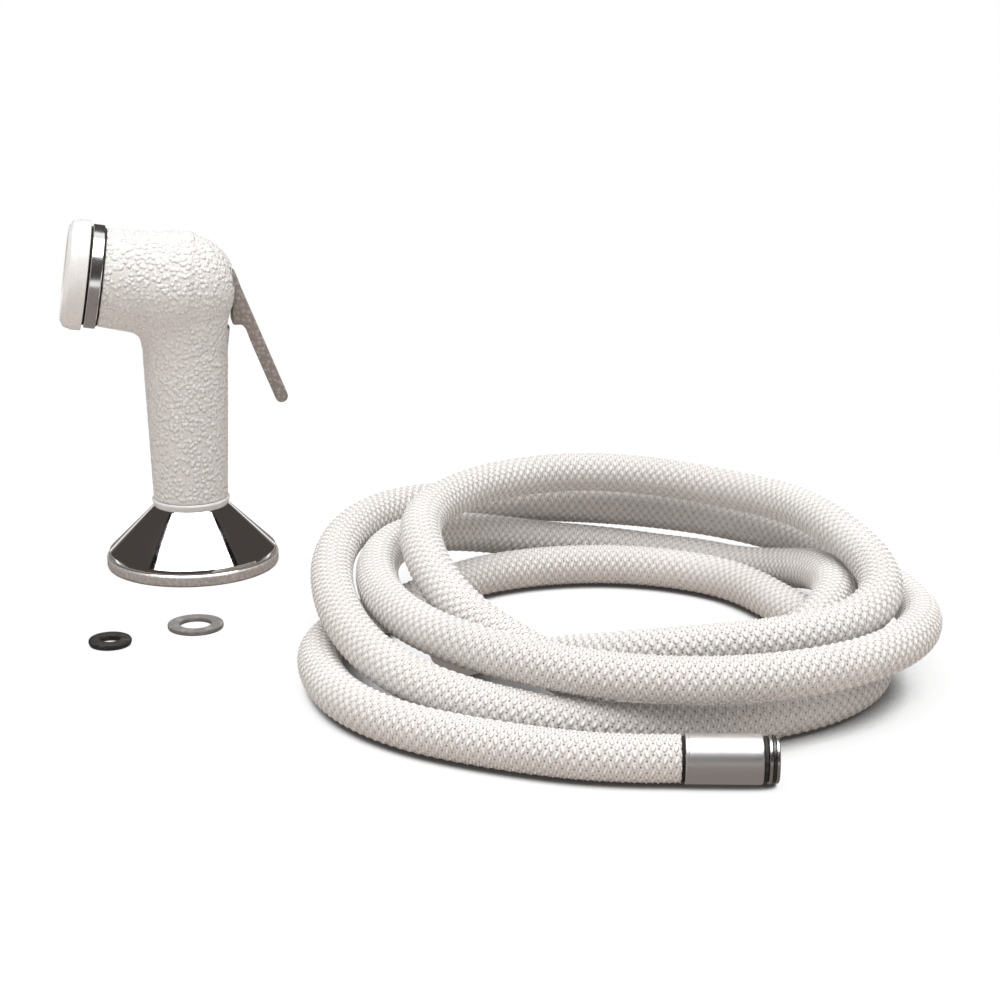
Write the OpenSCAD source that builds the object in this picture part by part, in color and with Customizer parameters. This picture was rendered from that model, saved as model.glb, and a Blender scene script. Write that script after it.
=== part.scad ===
// Kitchen side spray: a hand sprayer standing in its conical holder, its two
// loose washers and its braided hose lying in a loose coil.
// Millimetres, +Z up. Origin: centre of the holder's base, on the worktop.
// The spray head points to -X and the lever is on the +X side.

/* [Holder] */
// Diameter of the holder's base
base_d = 60; // [50:0.5:75]
// Height of the chromed cone
cone_h = 21.3; // [17:0.1:30]
// Height of the straight rim around the base
rim_h = 3.6; // [2:0.1:5]
// Wall of the chromed cone
cone_wall = 1.4; // [1:0.1:2]
// Diameter of the cone's top opening, which the liner turns in
throat_d = 24.2; // [23:0.1:24.6]
// Thickness of the liner's tube
liner_wall = 1.3; // [1:0.1:1.8]
// Height of the liner's visible collar
collar_h = 2.6; // [1.5:0.1:4]
// Width of the base gasket's ring
gasket_w = 4.5; // [3:0.5:6]
// Thickness of the base gasket
gasket_t = 1.6; // [1:0.1:2]

/* [Handle] */
// Diameter of the handle where it meets the holder
grip_low_d = 25.8; // [25.6:0.1:28]
// Diameter of the handle under the head
grip_top_d = 29.4; // [28:0.1:33]
// Height at which the handle's grip ends, above the worktop
grip_top_z = 79; // [74:0.5:86]
// Bore of the handle
grip_bore = 22.2; // [20:0.1:22.8]
// Diameter of the tail nut's lower end
tail_d = 19; // [17:0.1:20.5]
// Bore of the tail nut, which takes the hose ferrule
inlet_bore = 14.4; // [14.2:0.1:15.5]
// Length of the tail nut below the handle
tail_len = 18.4; // [12:0.1:19.5]
// Length of the tail nut's thread inside the handle
tail_thread = 12; // [8:0.5:16]
// Outer diameter of the water tube
tube_d = 10; // [8:0.5:11]
// Bore of the water tube
tube_bore = 7; // [5:0.5:7.5]

/* [Head] */
// Height of the head's centre above the worktop
head_z = 98; // [94:0.5:106]
// Angle by which the head tips up
head_tilt = 9; // [0:0.5:15]
// Diameter of the rounded back of the head
head_d = 36.8; // [34:0.2:40]
// Distance from the head's centre to the chrome ring
nose_len = 27.5; // [22:0.5:34]
// Wall of the sprayer body
body_wall = 2.2; // [1.8:0.1:2.6]
// Width of the chrome ring
ring_w = 5.2; // [3:0.1:8]
// Length of the face cap
cap_len = 7.3; // [6.4:0.1:10]
// Diameter of the face cap
cap_d = 37.6; // [36:0.1:40]
// How far the face cap stands out from the head behind the chrome ring
nose_step = 2.1; // [1.2:0.1:2.6]
// How far the face cap stands out from the chrome ring
ring_step = 1.15; // [0.5:0.05:1.8]
// Wall of the face cap around the body's spigot
cap_wall = 3.2; // [2.6:0.1:3.8]
// Diameter of one spray hole
jet_d = 1.1; // [0.8:0.1:1.5]

/* [Lever] */
// Thickness of the lever
lever_t = 4.4; // [3.6:0.1:5]
// Width of the lever
lever_w = 12; // [9:0.5:14]
// Angle of the lever from the vertical, at rest
lever_lean = 21.5; // [18:0.5:26]
// Length of the lever from its pin to its tip
lever_len = 45.6; // [38:0.1:56]
// Diameter of the lever pin
pin_d = 2.4; // [2:0.1:3]
// Distance from the handle's axis to the lever pin
pin_x = 15.8; // [15:0.1:16.4]
// Height of the lever pin above the head's centre
pin_up = 1.8; // [0:0.1:3]

/* [Valve] */
// Distance from the head's centre down to the valve's axis
valve_drop = 8; // [7.4:0.1:9]
// Outer diameter of the valve body
valve_d = 15.6; // [15:0.1:16]
// Bore of the valve body
valve_bore = 11.2; // [10.6:0.1:11.6]
// Diameter of the valve stem
stem_d = 3; // [2.5:0.1:3.4]
// Hole of the valve seat
seat_bore = 6; // [5:0.1:6.6]
// Wire of the valve spring
spring_wire = 0.8; // [0.6:0.1:0.9]
// Turns of the valve spring
spring_turns = 3.5; // [2:0.5:4]

/* [Washers] */
// Outer diameter of the large washer
big_washer_d = 18; // [17:0.1:19.4]
// Hole of the large washer
big_washer_hole = 10.3; // [9:0.1:12]
// Thickness of the large washer
big_washer_t = 1.2; // [1:0.1:3]
// Outer diameter of the small washer
small_washer_d = 13.6; // [13:0.1:15]
// Hole of the small washer
small_washer_hole = 6.2; // [5:0.1:8]
// Thickness of the small washer
small_washer_t = 1.9; // [1.5:0.1:3]

/* [Hose] */
// Outer diameter of the braided hose
hose_d = 13.5; // [12.9:0.1:13.5]
// Outer diameter of the crimped ferrules
ferrule_d = 13.8; // [13.6:0.1:14]
// Length of the ferrule at the sprayer's end
ferrule_len = 22; // [16:0.1:26]
// Bore of the hose's nipples
nipple_bore = 6.4; // [5:0.1:7.5]
// Length of the ferrule at the faucet's end
tail_ferrule_len = 13; // [12:0.1:15]
// Width of the union nut across its flats
nut_flats = 19; // [18:0.1:19.4]
// Thread bore of the union nut
nut_bore = 15; // [14.9:0.1:15.4]
// Length of the union nut
nut_len = 13; // [11:0.1:15]

/* [Clearances] */
// Radial clearance of a pin or a sleeve that turns
run_gap = 0.05; // [0.02:0.01:0.1]
// Gap between parts that pass each other
pass_gap = 0.3; // [0.2:0.05:0.5]
// Gap of pieces pushed together by hand or glued
snug = 0.02; // [0.01:0.01:0.05]

/* [Hidden] */
$fn = 96;
cut = 1;

CHROME = [0.78, 0.78, 0.79];
WHITE = [0.93, 0.92, 0.90];
GREY = [0.62, 0.60, 0.58];
DARK = [0.24, 0.23, 0.22];
BRASS = [0.80, 0.68, 0.42];
BRAID = [0.90, 0.88, 0.85];

// Holder
base_r = base_d/2;
throat_r = throat_d/2;
cone_top_r = grip_low_d/2;
shoulder_in = 0.6;
shoulder_up = 0.5;
slant_in = 0.3;
slant_up = 1.6;
throat_edge = 0.6;
edge_r = 0.5;
gasket_in = 2.6;
gasket_ledge = 0.9;
foot_r = base_r - gasket_in - gasket_w - gasket_ledge;
foot_floor = 1.4;
foot_h = gasket_t + foot_floor;
liner_r = throat_r - run_gap;
liner_bore_r = liner_r - liner_wall;
liner_low = 3;
collar_out = 0.75;
collar_edge = 0.5;
collar_r = cone_top_r + collar_out;
grip_z = cone_h + collar_h;

// Handle and tail nut
tail_z = grip_z - tail_len;
tail_play = 0.4;
tail_top_r = liner_bore_r - tail_play;
seat_pocket_d = big_washer_d + 2*pass_gap;
seat_deep = 7;
seat_z = grip_z + tail_thread - seat_deep;
tail_end_z = grip_z + tail_thread;
socket_h = 8;
socket_z = tail_end_z;
socket_floor = 3;
socket_lip = 3;
socket_lip_gap = 0.1;
seal_up = 1;
seal_slack = 0.1;
seal_wire = 1.8;
valve_z = head_z - valve_drop;
boss_wall = 1.4;
boss_r = tube_d/2 + boss_wall;
boss_drop = 5;
boss_up = 4;
outlet_d = 2;
outlet_up = 1;
tube_top_z = valve_z - valve_d/2;
tube_low_z = socket_z + socket_floor;

// Head, measured along its own axis from its centre
neck_in = 0.3;
root_in = 0.1;
cap_gap = 0.1;
cap_at = nose_len + ring_w + cap_gap;
cap_end = cap_at + cap_len;
cap_lip = 1.6;
nose_d = cap_d - 2*nose_step;
ring_d = cap_d - 2*ring_step;
cap_round = 3;
face_t = 1.4;
face_at = cap_end - cap_lip - face_t;
spigot_r = cap_d/2 - cap_wall;
spigot_root = 6;
spigot_wall = 1.1;
seal_t = 1.4;
disc_t = 2;
seal_at = face_at - seal_t;
disc_at = seal_at - disc_t;
mouth_r = spigot_r - spigot_wall;
disc_ledge = 1.2;
head_bore_r = mouth_r - disc_ledge;
lip_in = 0.4;
lip_gap = 0.2;
seal_w = 2;
disc_holes = 8;
disc_hole_r = 1.3;
disc_hole_in = 5.8;
jet_rings = 3;
jet_margin = 2.5;
face_gap = 0.1;
face_sunk = 0.5;
ring_air = 0.2;
ring_edge = [0.4, 0.6];
cap_edge = 0.3;

// Lever pocket in the back of the head
pocket_x = 11.5;
pocket_wall = 2;
pocket_play = 0.4;
pocket_w = lever_w + 2*pocket_play;
pocket_drop = 6;
pocket_rise = 6.8;
pocket_low = valve_z - pocket_drop;
pocket_top = head_z + pocket_rise;
pin_z = head_z + pin_up;
pin_len = 16.2;
lever_in = 1.6;
hub_out = 0.1;
hub_r = lever_t - lever_in + hub_out;
crest_up = 1.2;
crest_in = 0.3;
block_out = 0.4;
block_drop = 4.8;
block_x = pin_x + block_out;
block_low = valve_z - block_drop;
tip_r = 0.7;

// Valve, measured along X at the height valve_z
valve_back = pocket_x - pocket_wall;
valve_front = -12;
seat_x = 3.8;
seat_t = 1.4;
gland_t = 2.4;
seat_cover = 1.3;
poppet_r = seat_bore/2 + seat_cover;
washer_t = 1.6;
poppet_t = 2.4;
seat_gap = 0.02;
stem_travel = 2.1;
poppet_x = seat_x - seat_gap - washer_t - poppet_t;
plug_t = 2;
pilot_len = 2;
gland_pocket = 1.2;
gland_pocket_w = 1.3;
gland_slack = 0.1;
spring_air = 0.1;
spring_rings = 12;
wire_sides = 6;
spring_r = poppet_r - spring_wire;

// Loose washers, where they lie
big_washer_at = [-3.2, -71.2];
small_washer_at = [-30.7, -82.8];

// Hose. lie is the height of a hose axis that lies on the worktop.
hose_r = hose_d/2;
ferrule_r = ferrule_d/2;
lie = ferrule_r;
coil_sides = 6;
run_sides = 10;

// The free stretch, from the sprayer's fitting to the coil: chosen by hand
run_route = [[117.76, -223.43, lie], [106, -221, lie], [91, -216, lie],
    [76, -208, lie], [62, -198.5, lie], [50, -188, lie], [40.5, -175.5, lie],
    [34, -161.5, lie], [31, -147, lie], [30.5, -133, lie],
    [32.5, -119.5, lie], [38, -107, lie], [45, -98, lie], [53, -91, lie],
    [61.6, -84.65, lie], [71.1, -75.15, lie]];

// The coil. Seen from above its loops run clockwise round coil_centre. Each
// row is one loop: [reach, height] of the hose axis at every eighth turn.
coil_centre = [128, -113];
coil_first = 135;
step_turn = 45;
loops = [
    [[67, lie], [62.5, lie], [59, lie], [57.5, lie],
     [85, lie], [88, lie], [95.3, 13.5], [90.5, 22]],
    [[94, 28], [88, 21.5], [84.5, 18.5], [84, 17],
     [97, 20.5], [94, 22.6], [82.8, 23.8], [76.6, 23.5]],
    [[79.8, 22.5], [79, 10], [73.8, 7.1], [66.5, 19.5],
     [67, 20], [73, lie], [67.6, 22.4], [62.5, 34]],
    [[68, 36.5], [76, 36], [73, 33.5], [68.5, 35],
     [84.5, 27.5], [67.5, 22.2], [46, 10.8]]];
rings_per_step = 3;
// Rings kept: the last interval is left one ring short of its end
coil_rings = 89;
// The last bend and the straight end, hidden inside the coil
coil_tail = [[100, -152.2, 11], [96.2, -147.6, 9.7], [86.7, -137.8, 9.7]];

// Fittings at the sprayer's end of the hose, along the hose axis
spray_dir = [run_route[0][0] - run_route[1][0],
    run_route[0][1] - run_route[1][1]];
spray_turn = atan2(spray_dir[1], spray_dir[0]);
end_seal_w = 1.3;
flange_w = 1;
ring_groove = 1;
tip_w = 1;
nipple_r = 4.2;
groove_r = 5.8;
end_seal_in = 0.6;
flange_in = 0.2;
tip_in = 0.3;
snap_in = 0.4;
snap_gap = 0.05;
snap_slot = 2.4;

// Fittings at the faucet's end
tail_from = coil_tail[1];
tail_to = coil_tail[2];
tail_turn = atan2(tail_to[1] - tail_from[1], tail_to[0] - tail_from[0]);
nut_back = 3;
nut_play = 0.1;
nut_at = tail_ferrule_len - nut_back - nut_play;
bead_gap = 0.2;
bead_r = nut_bore/2 - bead_gap;
bead_t = 2.2;

// Smooth interpolation through b and c, between their neighbours a and d
function blend(a, b, c, d, t) = 0.5*(2*b + (c - a)*t
    + (2*a - 5*b + 4*c - d)*t*t + (3*b - a - 3*c + d)*t*t*t);
function eighth(i, all) = all[i < 0 ? 1 : i > len(all) - 1 ? len(all) - 2 : i];
function lay_at(k, all) = let (i = floor(k/rings_per_step),
    t = k/rings_per_step - i)
    blend(eighth(i - 1, all), eighth(i, all), eighth(i + 1, all),
        eighth(i + 2, all), t);
function coil_point(k, all) = let (lay = lay_at(k, all),
    turn = coil_first - step_turn*k/rings_per_step)
    [coil_centre[0] + lay[0]*cos(turn), coil_centre[1] + lay[0]*sin(turn),
        max(lie, lay[1])];

eighths = [for (loop = loops) for (stop = loop) stop];
coil_turns = [for (k = [0 : coil_rings]) coil_point(k, eighths)];
coil_start = run_route[len(run_route) - 1];
coil_route = concat([coil_start], coil_turns, coil_tail);

// Least distance between points of the route that lie 4 diameters apart on it
function gap_between(route, far) = min([for (i = [0 : len(route) - 1])
    for (j = [i + far : 1 : len(route) - 1]) norm(route[i] - route[j])]);
// The same, measured on points between the rings as well
fine = 4;
function finer(route) = [for (i = [0 : len(route) - 2])
    for (t = [0 : fine - 1])
        route[i] + (route[i + 1] - route[i])*t/fine];
echo(least_coil_gap = gap_between(finer(coil_route), 5*fine) - hose_d);
echo(coil_length = length_of(coil_route), run_length = length_of(run_route));
function length_of(route, i = 1) = i >= len(route) ? 0
    : norm(route[i] - route[i - 1]) + length_of(route, i + 1);

// A tube of the given radius and sides swept along a route
function unit(v) = v/norm(v);
function heading(route, i) = unit(i == 0 ? route[1] - route[0]
    : i == len(route) - 1 ? route[i] - route[i - 1]
    : unit(route[i + 1] - route[i]) + unit(route[i] - route[i - 1]));
function ring_of(centre, along, r, sides, up) =
    let (side = unit(cross(along, up)), top = cross(side, along))
    [for (s = [0 : sides - 1]) let (a = 90 + 360*s/sides)
        centre + r*(cos(a)*side + sin(a)*top)];
module sweep_tube(route, r, sides, up = [0, 0, 1]) {
    n = len(route);
    points = [for (i = [0 : n - 1])
        each ring_of(route[i], heading(route, i), r, sides, up)];
    walls = [for (i = [0 : n - 2]) for (s = [0 : sides - 1])
        let (a = i*sides + s, b = i*sides + (s + 1) % sides)
        each [[a, a + sides, b], [b, a + sides, b + sides]]];
    first = [for (s = [1 : sides - 2]) [0, s, s + 1]];
    last = [for (s = [1 : sides - 2]) let (o = (n - 1)*sides)
        [o, o + s + 1, o + s]];
    polyhedron(points, concat(walls, first, last));
}

// A ring of rectangular section from height z to z + h
module band(r_out, r_in, z, h) {
    translate([0, 0, z]) difference() {
        cylinder(h = h, r = r_out);
        translate([0, 0, -cut]) cylinder(h = h + 2*cut, r = r_in);
    }
}

module torus(r, wire) {
    rotate_extrude() translate([r, 0]) circle(d = wire, $fn = 24);
}

module on_head_axis() {
    translate([0, 0, head_z]) rotate([0, head_tilt - 90, 0]) children();
}

module on_valve_axis(x = 0) {
    translate([x, 0, valve_z]) rotate([0, 90, 0]) children();
}

module on_spray_end() {
    translate(run_route[0]) rotate([0, 90, spray_turn]) children();
}

module on_faucet_end() {
    translate(tail_to) rotate([0, 90, tail_turn]) children();
}

// ---- Holder

module holder_cone() {
    shoulder_r = base_r - shoulder_in;
    slant_r = shoulder_r - slant_in;
    slant_z = rim_h + slant_up;
    wall_run = cone_wall*norm([slant_r - cone_top_r, cone_h - slant_z])
        /(cone_h - slant_z);
    color(CHROME) difference() {
        rotate_extrude() difference() {
            polygon([[0, 0], [base_r - edge_r, 0], [base_r, edge_r],
                [base_r, rim_h - edge_r], [base_r - edge_r, rim_h],
                [shoulder_r, rim_h + shoulder_up], [slant_r, slant_z],
                [cone_top_r, cone_h], [0, cone_h]]);
            polygon([[0, -cut], [foot_r, -cut], [foot_r, foot_h],
                [slant_r - wall_run, slant_z], [throat_r, cone_h - throat_edge],
                [throat_r, cone_h + cut], [0, cone_h + cut]]);
        }
        band(base_r - gasket_in, base_r - gasket_in - gasket_w, -cut,
            gasket_t + cut);
    }
}

module base_gasket() {
    color(DARK) band(base_r - gasket_in, base_r - gasket_in - gasket_w, 0,
        gasket_t);
}

module holder_liner() {
    color(WHITE) difference() {
        union() {
            translate([0, 0, liner_low])
                cylinder(h = grip_z - liner_low, r = liner_r);
            translate([0, 0, cone_h]) rotate_extrude()
                polygon([[0, 0], [cone_top_r, 0],
                    [collar_r, collar_h - collar_edge],
                    [collar_r - collar_edge, collar_h], [0, collar_h]]);
        }
        translate([0, 0, liner_low - cut])
            cylinder(h = grip_z, r = liner_bore_r);
    }
}

// ---- Sprayer body

module body_outside(inset = 0) {
    translate([0, 0, head_z]) sphere(r = head_d/2 - inset);
    translate([0, 0, grip_top_z]) cylinder(h = head_z - grip_top_z,
        r1 = grip_top_d/2 - inset, r2 = head_d/2 - inset - neck_in);
    on_head_axis() cylinder(h = nose_len,
        r1 = head_d/2 - inset - root_in, r2 = nose_d/2 - inset);
}

module pocket_room(grow = 0) {
    translate([pocket_x - grow, -pocket_w/2 - grow, pocket_low - grow])
        cube([head_d, pocket_w + 2*grow, pocket_top - pocket_low + 2*grow]);
}

module sprayer_body() {
    color(WHITE) difference() {
        union() {
            difference() {
                union() {
                    body_outside();
                    translate([0, 0, grip_z]) cylinder(
                        h = grip_top_z - grip_z, r1 = grip_low_d/2,
                        r2 = grip_top_d/2);
                }
                difference() {
                    body_outside(body_wall);
                    pocket_room(pocket_wall);
                }
                translate([0, 0, grip_z - cut])
                    cylinder(h = grip_top_z - grip_z + 2*cut, d = grip_bore);
            }
            on_head_axis() band(spigot_r, head_bore_r,
                nose_len - spigot_root, face_at - nose_len + spigot_root);
        }
        on_head_axis() translate([0, 0, nose_len - spigot_root - cut])
            cylinder(h = cap_end - nose_len + spigot_root, r = head_bore_r);
        on_head_axis() translate([0, 0, disc_at])
            cylinder(h = cap_len, r = mouth_r);
        pocket_room();
        on_valve_axis()
            cylinder(h = pocket_x + cut, d = stem_d + 2*pass_gap);
        translate([pin_x, 0, pin_z]) rotate([90, 0, 0])
            cylinder(h = pin_len, d = pin_d + snug, center = true);
    }
}

module tail_nut() {
    color(WHITE) difference() {
        union() {
            translate([0, 0, tail_z]) cylinder(h = tail_len,
                r1 = tail_d/2, r2 = tail_top_r);
            translate([0, 0, grip_z])
                cylinder(h = tail_thread, d = grip_bore - 2*run_gap);
        }
        translate([0, 0, tail_z - cut])
            cylinder(h = tail_len + tail_thread + 2*cut, d = inlet_bore);
        translate([0, 0, seat_z])
            cylinder(h = tail_thread + cut, d = seat_pocket_d);
    }
}

module inlet_socket() {
    color(BRASS) difference() {
        union() {
            translate([0, 0, socket_z])
                cylinder(h = socket_h, d = grip_bore - 2*run_gap);
            translate([0, 0, socket_z - socket_lip]) cylinder(
                h = socket_lip, d = seat_pocket_d - 2*socket_lip_gap);
        }
        translate([0, 0, socket_z - socket_lip - cut])
            cylinder(h = socket_lip + socket_h + 2*cut, d = tube_bore);
        translate([0, 0, tube_low_z])
            cylinder(h = socket_h, d = tube_d + 2*run_gap);
        translate([0, 0, tube_low_z + seal_up])
            cylinder(h = seal_wire + 2*seal_slack,
                d = tube_d + 2*seal_wire + 2*snug);
    }
}

module tube_seal() {
    color(DARK) translate([0, 0,
        tube_low_z + seal_up + seal_slack + seal_wire/2])
        torus(tube_d/2 + seal_wire/2 + snug, seal_wire - snug);
}

module water_tube() {
    color(WHITE) band(tube_d/2, tube_bore/2, tube_low_z,
        tube_top_z - tube_low_z);
}

// ---- Spray face

module chrome_ring() {
    edge_x = ring_d/2 - ring_edge[0];
    edge_z = ring_air + ring_edge[1];
    color(CHROME) on_head_axis() difference() {
        translate([0, 0, nose_len]) rotate_extrude() {
            polygon([[0, ring_air], [edge_x, ring_air],
                [ring_d/2, edge_z], [ring_d/2, ring_w - edge_z],
                [edge_x, ring_w - ring_air], [0, ring_w - ring_air]]);
        }
        cylinder(h = cap_end, r = spigot_r + run_gap);
    }
}

module flow_disc() {
    color(WHITE) on_head_axis() translate([0, 0, disc_at]) difference() {
        cylinder(h = disc_t, r = mouth_r - run_gap);
        for (k = [1 : disc_holes]) rotate(360*k/disc_holes)
            translate([mouth_r - disc_hole_in, 0, -cut])
                cylinder(h = disc_t + 2*cut, r = disc_hole_r, $fn = 24);
    }
}

module face_seal() {
    color(DARK) on_head_axis() band(mouth_r - run_gap, mouth_r - seal_w,
        seal_at, seal_t);
}

module spray_face() {
    color(GREY) on_head_axis() difference() {
        union() {
            translate([0, 0, face_at])
                cylinder(h = face_t, r = spigot_r - face_gap);
            translate([0, 0, face_at + face_t])
                cylinder(h = cap_lip - face_sunk,
                    r = mouth_r - lip_in - lip_gap);
        }
        translate([0, 0, face_at - cut]) for (ring = [0 : jet_rings])
            for (k = [0 : max(1, 6*ring) - 1])
                rotate(360*k/max(1, 6*ring)) translate(
                    [ring*(mouth_r - jet_margin)/jet_rings, 0, 0])
                        cylinder(h = face_t + cap_lip + 2*cut, d = jet_d,
                            $fn = 16);
    }
}

module face_cap() {
    color(WHITE) on_head_axis() difference() {
        translate([0, 0, cap_at]) rotate_extrude()
            polygon([[0, 0], [cap_d/2 - cap_edge, 0], [cap_d/2, cap_edge],
                [cap_d/2, cap_len - cap_round],
                for (a = [15 : 15 : 90]) [cap_d/2 - cap_round*(1 - cos(a)),
                    cap_len - cap_round*(1 - sin(a))],
                [0, cap_len]]);
        cylinder(h = face_at + face_t, r = spigot_r + run_gap);
        cylinder(h = cap_end + cut, r = mouth_r - lip_in);
    }
}

// ---- Lever

module lever_plate() {
    rotate([90, 0, 0]) linear_extrude(lever_w, center = true) difference() {
        union() {
            circle(r = hub_r);
            translate([0, crest_up]) circle(r = hub_r - crest_in);
            rotate(lever_lean) {
                translate([-lever_in, -lever_len + lever_t/2])
                    square([lever_t, lever_len - lever_t/2]);
                translate([lever_t/2 - lever_in, -lever_len + lever_t/2])
                    circle(d = lever_t);
            }
            polygon([[block_x - pin_x, 0], [block_x - pin_x, block_low - pin_z],
                [(pin_z - block_low)*tan(lever_lean), block_low - pin_z],
                [hub_r, 0]]);
        }
        circle(d = pin_d + 2*run_gap);
    }
}

module lever() {
    color(GREY) translate([pin_x, 0, pin_z]) lever_plate();
}

module lever_pin() {
    color(CHROME) translate([pin_x, 0, pin_z]) rotate([90, 0, 0])
        cylinder(h = pin_len, d = pin_d, center = true);
}

// ---- Valve

module valve_body() {
    color(BRASS) difference() {
        union() {
            on_valve_axis(valve_front)
                cylinder(h = valve_back - valve_front, d = valve_d);
            translate([0, 0, tube_top_z - boss_drop])
                cylinder(h = boss_drop + boss_up, r = boss_r);
        }
        on_valve_axis(valve_front - cut)
            cylinder(h = seat_x - valve_front + cut, d = valve_bore);
        on_valve_axis(seat_x - cut)
            cylinder(h = seat_t + 2*cut, d = seat_bore);
        on_valve_axis(seat_x + seat_t)
            cylinder(h = valve_back, d = valve_bore);
        translate([0, 0, tube_top_z - boss_drop - cut])
            cylinder(h = boss_drop + cut, r = tube_d/2 + run_gap);
        translate([0, 0, tube_top_z - boss_drop])
            cylinder(h = valve_d/2 + boss_drop, d = tube_bore);
        translate([seat_x + seat_t + outlet_up, 0, valve_z])
            cylinder(h = valve_d, d = outlet_d, $fn = 32);
    }
}

module valve_plug() {
    color(BRASS) {
        on_valve_axis(valve_front)
            cylinder(h = plug_t, d = valve_bore - 2*run_gap);
        on_valve_axis(valve_front)
            cylinder(h = plug_t + pilot_len,
                r = spring_r - spring_wire/2 - pass_gap);
    }
}

module valve_gland() {
    color(BRASS) on_valve_axis(valve_back - gland_t) difference() {
        cylinder(h = gland_t, d = valve_bore - 2*run_gap);
        translate([0, 0, -cut])
            cylinder(h = gland_t + 2*cut, d = stem_d + 2*run_gap);
        translate([0, 0, -cut])
            cylinder(h = gland_pocket + cut, d = stem_d + 2*gland_pocket_w);
    }
}

module gland_seal() {
    color(DARK) on_valve_axis(valve_back - gland_t + gland_pocket/2)
        torus(stem_d/2 + gland_pocket_w/2, gland_pocket - gland_slack);
}

module valve_stem() {
    tip_x = block_x - pass_gap;
    color(WHITE) {
        on_valve_axis(poppet_x) cylinder(h = tip_x - tip_r - poppet_x,
            d = stem_d);
        on_valve_axis(tip_x - tip_r)
            cylinder(h = tip_r, r1 = stem_d/2, r2 = stem_d/2 - tip_r);
        on_valve_axis(poppet_x) cylinder(h = poppet_t, r = poppet_r);
    }
}

module valve_washer() {
    color(DARK) on_valve_axis(poppet_x + poppet_t) difference() {
        cylinder(h = washer_t, r = poppet_r);
        translate([0, 0, -cut])
            cylinder(h = washer_t + 2*cut, d = stem_d + snug);
    }
}

module valve_spring() {
    first_x = valve_front + plug_t + stem_travel + spring_wire/2
        + spring_air;
    last_x = poppet_x - spring_wire/2;
    steps = spring_rings*spring_turns;
    color(CHROME) sweep_tube([for (k = [0 : steps])
        let (a = 360*k/spring_rings)
        [first_x + (last_x - first_x)*k/steps, spring_r*cos(a),
            valve_z + spring_r*sin(a)]], spring_wire/2, wire_sides, [1, 0, 0]);
}

// ---- Loose washers

module washer(at, d, hole, t) {
    translate([at[0], at[1], 0]) difference() {
        cylinder(h = t, d = d);
        translate([0, 0, -cut]) cylinder(h = t + 2*cut, d = hole);
    }
}

module large_washer() {
    color(GREY) washer(big_washer_at, big_washer_d, big_washer_hole,
        big_washer_t);
}

module small_washer() {
    color(DARK) washer(small_washer_at, small_washer_d, small_washer_hole,
        small_washer_t);
}

// ---- Hose

module hose_coil() {
    color(BRAID) sweep_tube(coil_route, hose_r, coil_sides);
}

module hose_run() {
    color(BRAID) sweep_tube(run_route, hose_r, run_sides);
}

module spray_ferrule() {
    color(CHROME) on_spray_end() band(ferrule_r, nipple_r, 0, ferrule_len);
}

module end_seal() {
    color(DARK) on_spray_end() band(ferrule_r - end_seal_in, nipple_r,
        ferrule_len, end_seal_w);
}

module spray_nipple() {
    flange_at = ferrule_len + end_seal_w;
    total = flange_at + flange_w + ring_groove + tip_w;
    color(CHROME) on_spray_end() difference() {
        union() {
            cylinder(h = total, r = nipple_r - snug);
            translate([0, 0, flange_at])
                cylinder(h = flange_w + ring_groove + tip_w, r = groove_r);
            translate([0, 0, flange_at])
                cylinder(h = flange_w, r = ferrule_r - flange_in);
            translate([0, 0, total - tip_w])
                cylinder(h = tip_w, r = ferrule_r - tip_in);
        }
        translate([0, 0, -cut]) cylinder(h = total + 2*cut, d = nipple_bore);
    }
}

module snap_ring() {
    ring_at = ferrule_len + end_seal_w + flange_w + snap_gap;
    color(DARK) on_spray_end() difference() {
        band(ferrule_r - snap_in, groove_r + snug, ring_at,
            ring_groove - 2*snap_gap);
        translate([0, -snap_slot/2, ring_at - cut])
            cube([ferrule_r + cut, snap_slot, ring_groove + 2*cut]);
    }
}

module faucet_ferrule() {
    color(CHROME) on_faucet_end() band(ferrule_r, nipple_r, 0,
        tail_ferrule_len);
}

module faucet_nipple() {
    color(BRASS) on_faucet_end() difference() {
        union() {
            cylinder(h = tail_ferrule_len + bead_t, r = nipple_r - snug);
            translate([0, 0, tail_ferrule_len])
                cylinder(h = bead_t, r = bead_r);
        }
        translate([0, 0, -cut])
            cylinder(h = tail_ferrule_len + bead_t + 2*cut, d = nipple_bore);
    }
}

module union_nut() {
    color(CHROME) on_faucet_end() translate([0, 0, nut_at]) difference() {
        rotate(30) cylinder(h = nut_len, d = nut_flats/cos(30), $fn = 6);
        translate([0, 0, -cut])
            cylinder(h = nut_len + 2*cut, r = ferrule_r + run_gap);
        translate([0, 0, nut_back])
            cylinder(h = nut_len, d = nut_bore);
    }
}

holder_cone();
base_gasket();
holder_liner();
sprayer_body();
tail_nut();
inlet_socket();
water_tube();
tube_seal();
chrome_ring();
flow_disc();
face_seal();
spray_face();
face_cap();
lever();
lever_pin();
valve_body();
valve_plug();
valve_gland();
gland_seal();
valve_stem();
valve_washer();
valve_spring();
large_washer();
small_washer();
hose_coil();
hose_run();
spray_ferrule();
spray_nipple();
end_seal();
snap_ring();
faucet_ferrule();
faucet_nipple();
union_nut();
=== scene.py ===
"""Looks of the kitchen side spray: sprayer, deck holder, washers and coiled braided hose.

Places are in millimetres in the part's frame and turn into metres where meshes are made.
"""

import math

import bmesh
import bpy
import numpy as np
from mathutils import Matrix, Vector, noise


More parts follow.
